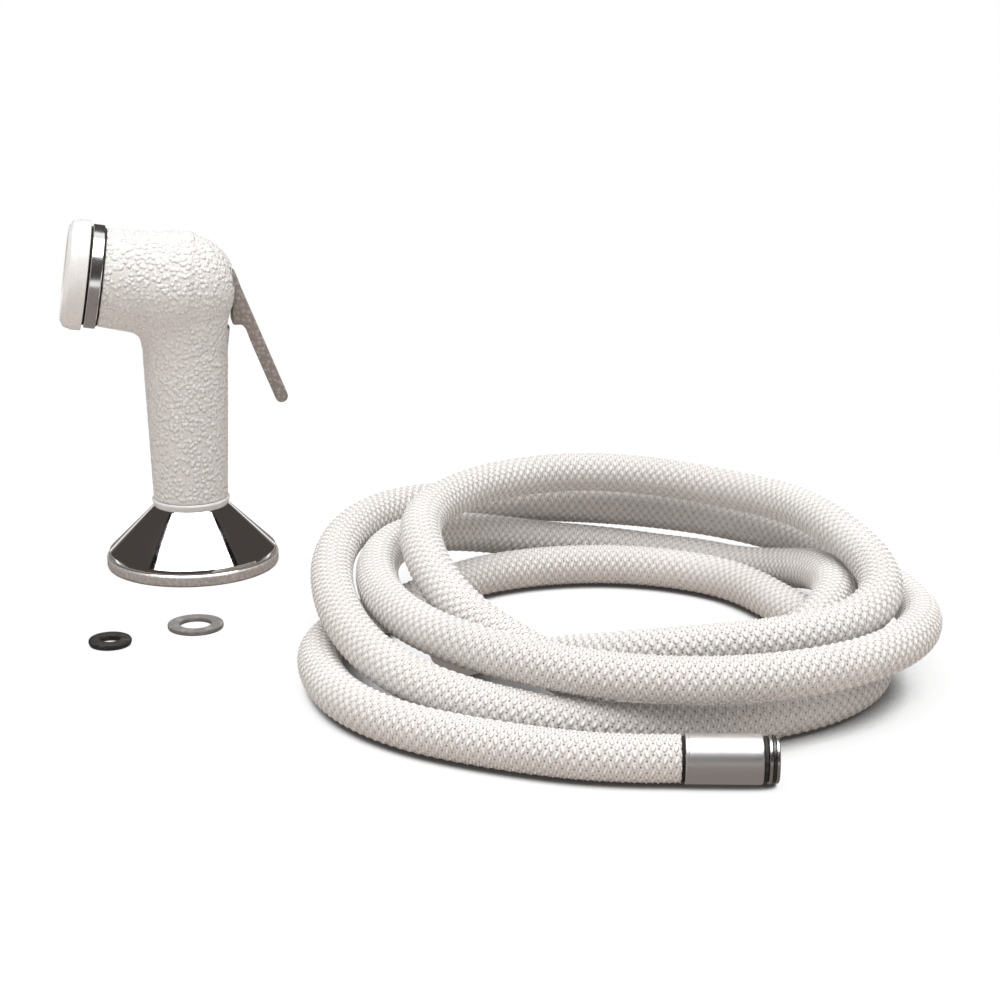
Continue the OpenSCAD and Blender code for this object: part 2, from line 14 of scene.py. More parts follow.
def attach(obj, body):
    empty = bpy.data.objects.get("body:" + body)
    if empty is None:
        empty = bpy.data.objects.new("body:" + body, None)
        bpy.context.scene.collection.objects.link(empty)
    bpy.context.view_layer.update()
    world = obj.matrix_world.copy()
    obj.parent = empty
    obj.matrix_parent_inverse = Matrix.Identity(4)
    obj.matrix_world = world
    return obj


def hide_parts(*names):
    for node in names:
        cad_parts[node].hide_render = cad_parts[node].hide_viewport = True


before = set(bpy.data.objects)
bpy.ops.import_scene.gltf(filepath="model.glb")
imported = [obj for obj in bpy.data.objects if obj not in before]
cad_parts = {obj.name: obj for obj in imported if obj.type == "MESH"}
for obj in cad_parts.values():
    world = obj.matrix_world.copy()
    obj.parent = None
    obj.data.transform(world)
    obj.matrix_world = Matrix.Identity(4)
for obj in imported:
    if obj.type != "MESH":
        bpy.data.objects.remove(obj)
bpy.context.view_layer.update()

MM = 0.001
# Edges that bend by more than this many degrees are shaded sharp.
SHARP_ANGLE = 40

# ---------------------------------------------------------------- camera

# Its angles are in degrees: 90 of tilt would look level, and a turn of 0 along +Y.
CAMERA_AT = (-33.1, -766.2, 240)
CAMERA_TILT = 74
CAMERA_TURN = -10.6
LENS_MM = 81


def new_object(name, data):
    """An object for a mesh, lamp or camera, linked to the scene."""
    made = bpy.data.objects.new(name, data)
    bpy.context.scene.collection.objects.link(made)
    return made


def make_camera():
    data = bpy.data.cameras.new("camera")
    data.lens = LENS_MM
    data.sensor_width = 36
    data.clip_start = 0.01
    camera = new_object("camera", data)
    camera.location = Vector(CAMERA_AT) * MM
    camera.rotation_euler = (math.radians(CAMERA_TILT), 0, math.radians(CAMERA_TURN))
    bpy.context.scene.camera = camera


make_camera()
bpy.context.scene.view_settings.view_transform = "Standard"

# ---------------------------------------------------------------- meshes


def add_mesh(name, points, faces, sharp=None):
    """A mesh object from points in millimetres, with edges over sharp degrees shaded sharp."""
    mesh = bpy.data.meshes.new(name)
    mesh.from_pydata([tuple(p) for p in np.asarray(points, float) * MM], [], faces)
    mesh.validate()
    mesh.update()
    mesh.shade_smooth()
    if sharp is not None:
        mesh.set_sharp_from_angle(angle=math.radians(sharp))
    return new_object(name, mesh)


def rounded(corners, steps=5):
    """A closed outline from (across, along, radius) corners, with an arc where there is a radius."""
    outline = []
    count = len(corners)
    for i, corner in enumerate(corners):
        here = np.array(corner[:2], float)
        radius = corner[2] if len(corner) > 2 else 0
        if not radius:
            outline.append(tuple(here))
            continue
        before = np.array(corners[i - 1][:2], float) - here
        after = np.array(corners[(i + 1) % count][:2], float) - here
        room = 0.48 * min(np.linalg.norm(before), np.linalg.norm(after))
        before, after = before / np.linalg.norm(before), after / np.linalg.norm(after)
        half = math.acos(np.clip(before @ after, -1, 1)) / 2
        reach = min(radius / math.tan(half), room)
        centre = here + (before + after) / np.linalg.norm(before + after) * reach / math.cos(half)
        start, end = here + before * reach - centre, here + after * reach - centre
        sweep = math.pi - 2 * half
        for k in range(steps + 1):
            t = k / steps
            at = centre + (
                start * math.sin((1 - t) * sweep) + end * math.sin(t * sweep)
            ) / math.sin(sweep)
            outline.append(tuple(at))
    return outline


def lathe(name, corners, place=None, turns=128):
    """A solid of revolution round Z, set in place by a matrix.

    The corners run round its section as (radius, height, rounding).
    """
    outline = rounded(corners)
    count = len(outline)
    points, faces = [], []
    for j in range(turns):
        a = 2 * math.pi * j / turns
        points += [(r * math.cos(a), r * math.sin(a), z) for r, z in outline]
    for j in range(turns):
        here, there = j * count, (j + 1) % turns * count
        for i in range(count):
            n = (i + 1) % count
            if outline[i][0] < 1e-9 and outline[n][0] < 1e-9:
                continue
            faces.append((here + i, there + i, there + n, here + n))
    piece = add_mesh(name, points, faces)
    work = bmesh.new()
    work.from_mesh(piece.data)
    bmesh.ops.remove_doubles(work, verts=work.verts, dist=1e-7)
    bmesh.ops.dissolve_degenerate(work, edges=work.edges, dist=1e-8)
    bmesh.ops.recalc_face_normals(work, faces=work.faces)
    work.to_mesh(piece.data)
    work.free()
    if place is not None:
        piece.data.transform(to_metres(place))
    smooth_but_sharp(piece, SHARP_ANGLE)
    return piece


def face_outwards(piece):
    """Turns every face's normal outwards."""
    work = bmesh.new()
    work.from_mesh(piece.data)
    bmesh.ops.recalc_face_normals(work, faces=work.faces)
    work.to_mesh(piece.data)
    work.free()


def smooth_but_sharp(piece, degrees):
    """Smooth shading, but for the edges that bend by more than so many degrees."""
    piece.data.shade_smooth()
    piece.data.set_sharp_from_angle(angle=math.radians(degrees))


def to_metres(place):
    """The same placing matrix, with its move in metres."""
    made = place.copy()
    made.translation = made.translation * MM
    return made


def bevel(piece, width, segments, angle):
    """Rounds a piece's edges by a bevel, applied to its mesh."""
    modifier = piece.modifiers.new("bevel", "BEVEL")
    modifier.width = width * MM
    modifier.segments = segments
    modifier.limit_method = "ANGLE"
    modifier.angle_limit = math.radians(angle)
    apply_modifiers(piece)


def apply_modifiers(piece):
    """Puts what the modifiers make into the mesh itself."""
    bpy.context.view_layer.update()
    shown = piece.evaluated_get(bpy.context.evaluated_depsgraph_get())
    mesh = bpy.data.meshes.new_from_object(shown)
    piece.modifiers.clear()
    piece.data = mesh


# ---------------------------------------------------------------- shader helpers


class Shader:
    """A Principled material, with short calls that add nodes."""

    def __init__(self, name, colour, roughness, metallic=0.0, specular=0.5):
        self.material = bpy.data.materials.new(name)
        self.material.use_nodes = True
        self.nodes = self.material.node_tree.nodes
        self.links = self.material.node_tree.links
        self.surface = self.nodes["Principled BSDF"]
        self.surface.inputs["Base Color"].default_value = (*colour, 1)
        self.surface.inputs["Roughness"].default_value = roughness
        self.surface.inputs["Metallic"].default_value = metallic
        self.surface.inputs["Specular IOR Level"].default_value = specular

    def put(self, socket, value):
        if isinstance(value, bpy.types.NodeSocket):
            self.links.new(value, socket)
        elif isinstance(value, tuple) and len(value) == 3 and socket.type == "RGBA":
            socket.default_value = (*value, 1)
        else:
            socket.default_value = value

    def set(self, name, value):
        self.put(self.surface.inputs[name], value)

    def math(self, kind, *values):
        node = self.nodes.new("ShaderNodeMath")
        node.operation = kind
        for socket, value in zip(node.inputs, values):
            self.put(socket, value)
        return node.outputs[0]

    def place(self):
        return self.nodes.new("ShaderNodeTexCoord").outputs["Object"]

    def noise(self, per_mm, detail=3.0, roughness=0.5):
        node = self.nodes.new("ShaderNodeTexNoise")
        node.inputs["Scale"].default_value = per_mm / MM
        node.inputs["Detail"].default_value = detail
        node.inputs["Roughness"].default_value = roughness
        self.links.new(self.place(), node.inputs["Vector"])
        return node.outputs["Fac"]

    def cells(self, per_mm, smooth):
        node = self.nodes.new("ShaderNodeTexVoronoi")
        node.feature = "SMOOTH_F1"
        node.inputs["Scale"].default_value = per_mm / MM
        node.inputs["Smoothness"].default_value = smooth
        self.links.new(self.place(), node.inputs["Vector"])
        return node.outputs["Distance"]

    def ramp(self, value, low, high, to_low=0.0, to_high=1.0):
        node = self.nodes.new("ShaderNodeMapRange")
        node.interpolation_type = "SMOOTHSTEP"
        for name, number in (
            ("From Min", low), ("From Max", high), ("To Min", to_low), ("To Max", to_high)
        ):
            node.inputs[name].default_value = number
        self.put(node.inputs["Value"], value)
        return node.outputs["Result"]

    def mix(self, share, first, second):
        node = self.nodes.new("ShaderNodeMix")
        node.data_type = "RGBA"
        self.put(node.inputs[0], share)
        self.put(node.inputs[6], first)
        self.put(node.inputs[7], second)
        return node.outputs[2]

    def bump(self, height, depth_mm):
        node = self.nodes.new("ShaderNodeBump")
        node.inputs["Strength"].default_value = 1.0
        node.inputs["Distance"].default_value = depth_mm * MM
        self.links.new(height, node.inputs["Height"])
        self.links.new(node.outputs["Normal"], self.surface.inputs["Normal"])


def dress(piece, shader, body, replaces=()):
    """Gives a new piece its material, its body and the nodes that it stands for."""
    piece.data.materials.clear()
    piece.data.materials.append(shader.material)
    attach(piece, body)
    if replaces:
        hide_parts(*replaces)


# ---------------------------------------------------------------- the hose's route

HOSE_D = 13.5
FERRULE_R = 6.9
LIE = FERRULE_R
RUN_ROUTE = [
    (117.76, -223.43, LIE), (106, -221, LIE), (91, -216, LIE), (76, -208, LIE),
    (62, -198.5, LIE), (50, -188, LIE), (40.5, -175.5, LIE), (34, -161.5, LIE),
    (31, -147, LIE), (30.5, -133, LIE), (32.5, -119.5, LIE), (38, -107, LIE),
    (45, -98, LIE), (53, -91, LIE), (61.6, -84.65, LIE), (71.1, -75.15, LIE),
]
COIL_CENTRE = (128, -113)
COIL_FIRST = 135
STEP_TURN = 45
# Each row is one loop: [reach, height] of the hose axis at every eighth turn.
LOOPS = [
    [(67, LIE), (62.5, LIE), (59, LIE), (57.5, LIE), (85, LIE), (88, LIE), (95.3, 13.5), (90.5, 22)],
    [(94, 28), (88, 21.5), (84.5, 18.5), (84, 17), (97, 20.5), (94, 22.6), (82.8, 23.8), (76.6, 23.5)],
    [(79.8, 22.5), (79, 10), (73.8, 7.1), (66.5, 19.5), (67, 20), (73, LIE), (67.6, 22.4), (62.5, 34)],
    [(68, 36.5), (76, 36), (73, 33.5), (68.5, 35), (84.5, 27.5), (67.5, 22.2), (46, 10.8)],
]
# The coil ends at this ring of part.scad, which has so many rings to every eighth turn.
COIL_RINGS, RINGS_PER_STEP = 89, 3
COIL_END = COIL_RINGS / RINGS_PER_STEP
COIL_TAIL = [(100, -152.2, 11), (96.2, -147.6, 9.7), (86.7, -137.8, 9.7)]


def spline(a, b, c, d, t):
    """Smooth interpolation from b to c, between their neighbours a and d."""
    a, b, c, d = (np.array(p, float) for p in (a, b, c, d))
    return 0.5 * (
        2 * b + (c - a) * t + (2 * a - 5 * b + 4 * c - d) * t * t
        + (3 * b - a - 3 * c + d) * t ** 3
    )


def through(stops, steps):
    """Points of the smooth curve through the stops, its ends left straight."""
    made = []
    for i in range(len(stops) - 1):
        a = stops[i - 1] if i else 2 * np.array(stops[0]) - np.array(stops[1])
        d = stops[i + 2] if i + 2 < len(stops) else 2 * np.array(stops[-1]) - np.array(stops[-2])
        made += [spline(a, stops[i], stops[i + 1], d, k / steps) for k in range(steps)]
    return made + [np.array(stops[-1], float)]


def coil_points(steps):
    """Points of the coil's axis, so many to every eighth turn."""
    eighths = [stop for loop in LOOPS for stop in loop]
    last = len(eighths) - 1
    made = []
    for k in range(int(COIL_END * steps) + 1):
        i, t = divmod(k / steps, 1)
        i = int(i)
        near = [eighths[1 if j < 0 else last - 1 if j > last else j] for j in range(i - 1, i + 3)]
        reach, height = spline(*near, t)
        turn = math.radians(COIL_FIRST - STEP_TURN * k / steps)
        made.append(np.array([
            COIL_CENTRE[0] + reach * math.cos(turn),
            COIL_CENTRE[1] + reach * math.sin(turn),
            max(LIE, height),
        ]))
    return made


def spaced(points, step):
    """The same line with its points one even step apart, and its length."""
    points = np.array(points)
    lengths = np.linalg.norm(np.diff(points, axis=0), axis=1)
    along = np.concatenate([[0], np.cumsum(lengths)])
    count = int(round(along[-1] / step))
    at = np.linspace(0, along[-1], count + 1)
    return np.stack([np.interp(at, along, points[:, k]) for k in range(3)], 1), along[-1]


def softened(points, passes=6):
    """The line with its small kinks eased, its ends kept."""
    points = points.copy()
    for _ in range(passes):
        points[2:-2] += 0.5 * ((points[1:-3] + points[3:-1]) / 2 - points[2:-2])
    return points


# ---------------------------------------------------------------- the braided hose

BRAID_PITCH = 3.05
BRAID_STRANDS = 12
RINGS_PER_PITCH = 4
SIDES = 3 * BRAID_STRANDS
BRAID_DEPTH = 0.4
BRAID_ROW = math.pi * HOSE_D / BRAID_STRANDS
# Half sizes of a hump, along the hose and round it
GRAIN = (0.68, 1.2)
THREADS = 4
THREAD_SLANT = 0.22
# A pinhole is full within the first of these shares of a strand, and gone at the second.
HOLE_EDGE = (0.07, 0.15)


def braid_height(u, v):
    """Height from 0 to 1 of the humps where the strands of two families pass over each other."""
    du, dv = u - np.floor(u + 0.5), v - np.floor(v + 0.5)
    along, across = (du + dv) / 2 * BRAID_PITCH, (du - dv) / 2 * BRAID_ROW
    return np.exp(-(along / GRAIN[0]) ** 2 - (across / GRAIN[1]) ** 2)


def hose_line():
    """The whole hose's axis: its free run, its coil and the coil's end, and its length."""
    run = through(RUN_ROUTE, 12)
    coil = coil_points(24)
    tail = through([coil[-9], coil[-1], *COIL_TAIL], 12)[12:]
    line, _ = spaced(run + coil + tail[1:], 1.0)
    line, length = spaced(softened(line), BRAID_PITCH / RINGS_PER_PITCH)
    return line, length


def braid_lines(ring, turn):
    """The strands of each family that pass the point at a ring and a side of the hose's mesh."""
    per_side = BRAID_STRANDS / SIDES
    return turn * per_side + 2 * ring / RINGS_PER_PITCH, -turn * per_side


def make_hose():
    """The hose's mesh with its humps, its axis and its length, with the braid's lines as its UV."""
    line, length = hose_line()
    count = len(line)
    ahead = np.gradient(line, axis=0)
    ahead /= np.linalg.norm(ahead, axis=1)[:, None]
    side = np.cross(ahead[0], [0, 0, 1.0])
    side /= np.linalg.norm(side)
    points = []
    turns = np.arange(SIDES)
    for i in range(count):
        side = side - ahead[i] * (side @ ahead[i])
        side /= np.linalg.norm(side)
        top = np.cross(side, ahead[i])
        u, v = braid_lines(i, turns)
        angles = np.pi * (u - v) / BRAID_STRANDS
        r = HOSE_D / 2 - BRAID_DEPTH * (1 - braid_height(u, v))
        points.append(
            line[i] + (np.cos(angles) * r)[:, None] * side + (np.sin(angles) * r)[:, None] * top)
    points = np.concatenate(points)
    faces = []
    for i in range(0, (count - 1) * SIDES, SIDES):
        for j in range(SIDES):
            n = (j + 1) % SIDES
            faces.append((i + j, i + SIDES + j, i + SIDES + n, i + n))
    ends = [tuple(range(SIDES)), tuple(reversed(range((count - 1) * SIDES, count * SIDES)))]
    mesh = bpy.data.meshes.new("braided_hose")
    mesh.from_pydata([tuple(p) for p in points * MM], [], faces + ends)
    layer = mesh.uv_layers.new(name="Braid")
    i = np.repeat(np.arange(count - 1), SIDES)
    j = np.tile(turns, count - 1)
    uv = np.zeros((len(mesh.loops), 2), np.float32)
    corners = [braid_lines(i + di, j + dj) for di, dj in ((0, 0), (1, 0), (1, 1), (0, 1))]
    for k in range(2):
        uv[: 4 * len(i), k] = np.stack([corner[k] for corner in corners], 1).ravel()
    layer.data.foreach_set("uv", uv.ravel())
    mesh.update()
    mesh.shade_smooth()
    hose = new_object("braided_hose", mesh)
    return hose, line, length


def braid_shader():
    """White nylon: bright humps, the mesh of fine threads between them greyer as painted shade, and
    pinholes between them painted near black as painted shade.
    """
    s = Shader("braid", (0.84, 0.83, 0.81), 0.45, specular=0.4)
    layer = s.nodes.new("ShaderNodeUVMap")
    layer.uv_map = "Braid"
    split = s.nodes.new("ShaderNodeSeparateXYZ")
    s.links.new(layer.outputs["UV"], split.inputs[0])

    def offset(value):
        nearest = s.math("FLOOR", s.math("ADD", value, 0.5))
        return s.math("SUBTRACT", value, nearest), nearest

    def reach(first, second):
        squares = s.math("ADD", s.math("POWER", first, 2.0), s.math("POWER", second, 2.0))
        return s.math("SQRT", squares)

    u, nearest_u = offset(split.outputs["X"])
    v, nearest_v = offset(split.outputs["Y"])
    lean = s.math("COSINE", s.math("MULTIPLY", s.math("ADD", nearest_u, nearest_v), math.pi))
    along = s.math("MULTIPLY", s.math("ADD", u, v), BRAID_PITCH / 2)
    across = s.math("MULTIPLY", s.math("SUBTRACT", u, v), BRAID_ROW / 2)
    leaning = s.math("MULTIPLY", across, lean)
    slant = s.math("ADD", along, s.math("MULTIPLY", leaning, THREAD_SLANT))
    from_grain = reach(s.math("DIVIDE", slant, GRAIN[0]), s.math("DIVIDE", across, GRAIN[1]))
    grain = s.ramp(from_grain, 0.35, 1.1, 1.0, 0.0)
    to_hole = reach(
        s.math("SUBTRACT", 0.5, s.math("ABSOLUTE", u)),
        s.math("SUBTRACT", 0.5, s.math("ABSOLUTE", v)))
    hole = s.ramp(to_hole, *HOLE_EDGE, 1.0, 0.0)
    weave = s.math("ADD",
        s.math("COSINE", s.math("MULTIPLY", u, 2 * math.pi * THREADS)),
        s.math("COSINE", s.math("MULTIPLY", v, 2 * math.pi * THREADS)))
    height = s.math("ADD", grain, s.math("MULTIPLY", weave, 0.045))
    height = s.math("SUBTRACT", height, s.math("MULTIPLY", hole, 0.3))
    wear_and_painted_shade = s.ramp(s.noise(0.02, 2), 0.35, 0.65)
    hump_white = s.mix(wear_and_painted_shade, (0.96, 0.955, 0.95), (0.93, 0.92, 0.91))
    # Painted shade: the thread mesh between the humps is greyer and browner, for the shade that falls
    # between them.
    mesh = s.mix(wear_and_painted_shade, (0.73, 0.695, 0.67), (0.67, 0.63, 0.605))
    woven = s.mix(grain, mesh, hump_white)
    # Painted shade: the pinholes between the strands are painted near black.
    s.set("Base Color", s.mix(s.math("MULTIPLY", hole, 0.85), woven, (0.10, 0.09, 0.085)))
    s.set("Roughness", s.ramp(grain, 0.0, 1.0, 0.62, 0.4))
    s.bump(height, 0.55)
    return s


hose, hose_path, hose_length = make_hose()
braid = braid_shader()
dress(hose, braid, "holder", ("hose_run", "hose_coil"))

# ---------------------------------------------------------------- materials


PEBBLES_PER_MM = 0.62


def plastic(name, colour, pebble=0.0, roughness=0.38, hollow_shade_and_tone=0.95):
    """Moulded plastic, with a pebbled or a faintly uneven skin: a pebbled skin's hollows painted
    darker as painted shade, a smooth skin faintly uneven in tone.
    """
    s = Shader(name, colour, roughness, specular=0.5)
    fine = s.noise(1.6, 3, 0.6)
    if pebble:
        grain = s.ramp(s.cells(PEBBLES_PER_MM, 0.35), 0.14, 0.66, 1.0, 0.0)
        grain = s.math("ADD", s.math("MULTIPLY", grain, 0.75), s.math("MULTIPLY", fine, 0.5))
        s.bump(grain, pebble)
        s.set("Roughness", s.ramp(grain, 0.2, 0.9, roughness + 0.12, roughness - 0.04))
        shade = s.ramp(grain, 0.25, 0.85, 1.0, 0.0)
    else:
        s.set("Roughness", s.ramp(fine, 0.3, 0.7, roughness - 0.05, roughness + 0.06))
        s.bump(fine, 0.02)
        shade = s.ramp(s.noise(0.25, 4), 0.35, 0.65)
    # On pebbled plastic this darker, warmer colour is painted shade in the hollows; on smooth plastic
    # it is a random uneven tone.
    low = tuple(c * hollow_shade_and_tone ** k for c, k in zip(colour, (1, 1.15, 1.25)))
    s.set("Base Color", s.mix(shade, colour, low))
    return s


PLATING = (0.86, 0.855, 0.85)
RIM_TOP = 3.5


def chrome_plate(name, roughness=0.045):
    """Bright plating over a slightly wavy casting, with faint polishing haze."""
    s = Shader(name, PLATING, roughness, metallic=1.0)
    haze = s.noise(0.12, 4, 0.6)
    s.set("Roughness", s.ramp(haze, 0.35, 0.75, roughness, roughness + 0.05))
    s.bump(s.noise(0.05, 2), 0.03)
    return s


def rimmed_chrome():
    """The holder's plating: bright on the flank, satin on the rim at its foot, the rim's colour
    darkened and mottled as painted shade.
    """
    s = Shader("holder_plate", PLATING, 0.05, metallic=1.0)
    split = s.nodes.new("ShaderNodeSeparateXYZ")
    s.links.new(s.place(), split.inputs[0])
    rim = s.ramp(split.outputs["Z"], RIM_TOP * MM, (RIM_TOP + 0.25) * MM, 1.0, 0.0)
    mottle = s.noise(0.9, 4, 0.7)
    haze = s.ramp(s.noise(0.12, 4, 0.6), 0.35, 0.75, 0.045, 0.095)
    s.set("Roughness", s.math("MAXIMUM", haze, s.math("MULTIPLY", rim, 0.45)))
    s.set("Metallic", s.math("SUBTRACT", 1.0, s.math("MULTIPLY", rim, 0.4)))
    # Painted shade: the rim's colour is darkened and mottled grey-brown for the shaded floor it
    # mirrors.
    wear_and_painted_shade = s.mix(s.ramp(mottle, 0.35, 0.65), (0.52, 0.485, 0.46), (0.74, 0.70, 0.67))
    s.set("Base Color", s.mix(rim, PLATING, wear_and_painted_shade))
    rough = s.math("MULTIPLY", s.math("MULTIPLY", mottle, rim), 1.5)
    s.bump(s.math("ADD", s.noise(0.05, 2), rough), 0.03)
    return s


def bare_metal(name, colour, roughness):
    """Turned or drawn metal with fine tool marks."""
    s = Shader(name, colour, roughness, metallic=1.0)
    marks = s.noise(2.0, 4, 0.65)
    s.set("Roughness", s.ramp(marks, 0.3, 0.7, roughness - 0.07, roughness + 0.1))
    s.set("Base Color", s.mix(s.ramp(s.noise(0.15, 4), 0.3, 0.7),
        colour, tuple(c * 0.82 for c in colour)))
    s.bump(marks, 0.01)
    return s


def rubber(name, colour, roughness=0.62):
    """Moulded rubber with a dusty bloom and small pits."""
    s = Shader(name, colour, roughness, specular=0.35)
    bloom = s.noise(0.35, 5, 0.6)
    dusty = tuple(min(1, c * 1.5 + 0.02) for c in colour)
    s.set("Base Color", s.mix(s.ramp(bloom, 0.45, 0.75), colour, dusty))
    s.set("Roughness", s.ramp(bloom, 0.3, 0.7, roughness - 0.08, roughness + 0.12))
    s.bump(s.noise(1.4, 4, 0.6), 0.05)
    return s


# Painted shade: the hollows between the pebbles are painted darker and browner.
pebbled = plastic(
    "pebbled_plastic", (0.86, 0.85, 0.84), pebble=0.75, roughness=0.42, hollow_shade_and_tone=0.87)
smooth_white = plastic("smooth_plastic", (0.80, 0.79, 0.78), roughness=0.28)
face_plastic = plastic("spray_face_plastic", (0.55, 0.54, 0.53), roughness=0.4)
# Painted shade: the lever's white plastic is coloured dark grey-brown for the shade that lies on it.
lever_painted_shade_plastic = plastic(
    "lever_painted_shade_plastic", (0.35, 0.31, 0.29), pebble=0.25, roughness=0.42, hollow_shade_and_tone=0.75)
chrome = chrome_plate("chrome_plate")
satin = chrome_plate("satin_plate", 0.38)
band_chrome = chrome_plate("band_plate", 0.15)
cone_chrome = rimmed_chrome()
brass = bare_metal("turned_brass", (0.72, 0.56, 0.30), 0.28)
steel = bare_metal("drawn_steel", (0.58, 0.57, 0.56), 0.25)
dark_steel = bare_metal("blackened_steel", (0.12, 0.115, 0.11), 0.38)
black_rubber = rubber("black_rubber", (0.022, 0.021, 0.02))
grey_rubber = rubber("grey_rubber", (0.17, 0.16, 0.155))
# Painted shade: a near-black material put on the faces of recesses that are only in shade.
painted_gap_shade = rubber("unlit_gap", (0.012, 0.011, 0.01), 0.8)

# ---------------------------------------------------------------- sprayer

HEAD_Z = 98
HEAD_TILT = 9
HEAD_R = 18.4
NOSE_R = 16.7
NOSE_LEN = 27.5
GRIP_Z = 23.9
GRIP_TOP_Z = 79
GRIP_END_Z = 84
NECK_Z, NECK_HALF = 88, 10
GRIP_LOW_R = 12.9
GRIP_TOP_R = 14.7
HEAD_TURN = Matrix.Rotation(math.radians(HEAD_TILT - 90), 4, "Y")
HEAD_PLACE = Matrix.Translation((0, 0, HEAD_Z)) @ HEAD_TURN
PEBBLE = 0.18
VOXEL = 0.55
# How often the points are pulled on to the skin, and how many of those pulls even them out too
PULLS, EASED_PULLS = 14, 11
# Opposite corners of the lever's pocket
POCKET = ((11.5, -6.4, 84), (40, 6.4, 104.8))


def smooth_min(a, b, k):
    """The lesser of two distances, blended over k where they meet."""
    h = np.clip(0.5 + 0.5 * (b - a) / k, 0, 1)
    return b * (1 - h) + a * h - k * h * (1 - h)


def smooth_max(a, b, k):
    """The greater of two distances, blended over k where they meet."""
    return -smooth_min(-a, -b, k)


def to_head(p):
    """Points in the head's own frame: its axis runs along the third number."""
    return (p - [0, 0, HEAD_Z]) @ np.array(HEAD_PLACE.to_3x3())


def taper(radial, along, low, high, r_low, r_high):
    """Signed distance, nearly, to a cone between two heights, without its ends."""
    slope = (r_high - r_low) / (high - low)
    return (radial - (r_low + slope * (along - low))) / math.sqrt(1 + slope * slope)


def box_distance(p, low, high):
    """Signed distance to a box between two opposite corners."""
    centre, half = (np.array(low) + high) / 2, (np.array(high, float) - low) / 2
    q = np.abs(p - centre) - half
    return np.linalg.norm(np.maximum(q, 0), axis=1) + np.minimum(q.max(1), 0)


def body_distance(p):
    """Signed distance to the sprayer's skin: grip, elbow and head blended, less the pocket."""
    radial = np.linalg.norm(p[:, :2], axis=1)
    grip = smooth_max(
        taper(radial, p[:, 2], GRIP_Z, GRIP_TOP_Z, GRIP_LOW_R, GRIP_TOP_R), p[:, 2] - GRIP_END_Z, 0.5)
    neck = smooth_max(
        taper(radial, p[:, 2], GRIP_TOP_Z, HEAD_Z, GRIP_TOP_R, HEAD_R - 0.3),
        np.abs(p[:, 2] - NECK_Z) - NECK_HALF, 0.5)
    elbow = np.linalg.norm(p - [0, 0, HEAD_Z], axis=1) - HEAD_R
    h = to_head(p)
    across = np.linalg.norm(h[:, :2], axis=1)
    head = smooth_max(
        taper(across, h[:, 2], 0, NOSE_LEN, HEAD_R - 0.1, NOSE_R), -h[:, 2], 0.5)
    skin = smooth_min(smooth_min(smooth_min(grip, neck, 1.0), elbow, 1.0), head, 3.5)
    skin = smooth_max(skin, h[:, 2] - NOSE_LEN, 0.7)
    skin = smooth_max(skin, GRIP_Z - p[:, 2], 0.9)
    pocket = box_distance(p, *POCKET)
    return smooth_max(skin, -pocket, 0.7)


def make_body():
    """Remeshes rough forms, pulls every point on to the exact skin and raises the pebbles."""
    rough = bmesh.new()
    for place, low, high, radius in (
        (Matrix.Identity(4), GRIP_Z - 0.5, HEAD_Z, HEAD_R - 2),
        (HEAD_PLACE, -2, NOSE_LEN + 0.5, HEAD_R),
    ):
        bmesh.ops.create_cone(
            rough, cap_ends=True, segments=64,
            radius1=radius, radius2=radius, depth=high - low,
            matrix=place @ Matrix.Translation((0, 0, (low + high) / 2)))
    bmesh.ops.create_uvsphere(
        rough, u_segments=64, v_segments=32, radius=HEAD_R,
        matrix=Matrix.Translation((0, 0, HEAD_Z)))
    mesh = bpy.data.meshes.new("sprayer_shell")
    rough.to_mesh(mesh)
    rough.free()
    mesh.transform(Matrix.Scale(MM, 4))
    piece = new_object("sprayer_shell", mesh)
    remesh = piece.modifiers.new("remesh", "REMESH")
    remesh.mode = "VOXEL"
    remesh.voxel_size = VOXEL * MM
    apply_modifiers(piece)
    count = len(piece.data.vertices)
    at = np.zeros(count * 3, np.float32)
    piece.data.vertices.foreach_get("co", at)
    at = at.reshape(-1, 3).astype(float) / MM

    def slope(p, reach=0.02):
        rise = np.stack([
            body_distance(p + np.eye(3)[k] * reach) - body_distance(p - np.eye(3)[k] * reach)
            for k in range(3)], 1)
        return rise / np.maximum(np.linalg.norm(rise, axis=1), 1e-9)[:, None]

    edges = edge_table(piece.data)
    for k in range(PULLS):
        at -= slope(at) * np.clip(body_distance(at), -0.8, 0.8)[:, None]
        if k < EASED_PULLS:
            out = slope(at)
            pull = neighbour_mean(at, edges) - at
            at += 0.5 * (pull - out * np.sum(pull * out, 1)[:, None])
    out = slope(at)
    flat = np.minimum(np.abs(to_head(at)[:, 2] - NOSE_LEN), np.abs(at[:, 2] - GRIP_Z))
    calm = np.clip((flat - 0.9) / 1.2, 0, 1)
    grain = np.array([noise.voronoi(Vector(p) * PEBBLES_PER_MM)[0][0] for p in at])
    at += out * (PEBBLE * calm * (0.45 - np.clip(grain, 0, 0.9)))[:, None]
    piece.data.vertices.foreach_set("co", (at * MM).astype(np.float32).ravel())
    piece.data.update()
    piece.data.shade_smooth()
    return piece


def edge_table(mesh):
    """The two ends of every edge, a row each."""
    pairs = np.zeros(len(mesh.edges) * 2, np.int32)
    mesh.edges.foreach_get("vertices", pairs)
    return pairs.reshape(-1, 2)


def neighbour_mean(points, pairs):
    """The mean place of every point's neighbours."""
    total, count = np.zeros_like(points), np.zeros(len(points))
    for a, b in ((0, 1), (1, 0)):
        np.add.at(total, pairs[:, a], points[pairs[:, b]])
        np.add.at(count, pairs[:, a], 1)
    return total / np.maximum(count, 1)[:, None]


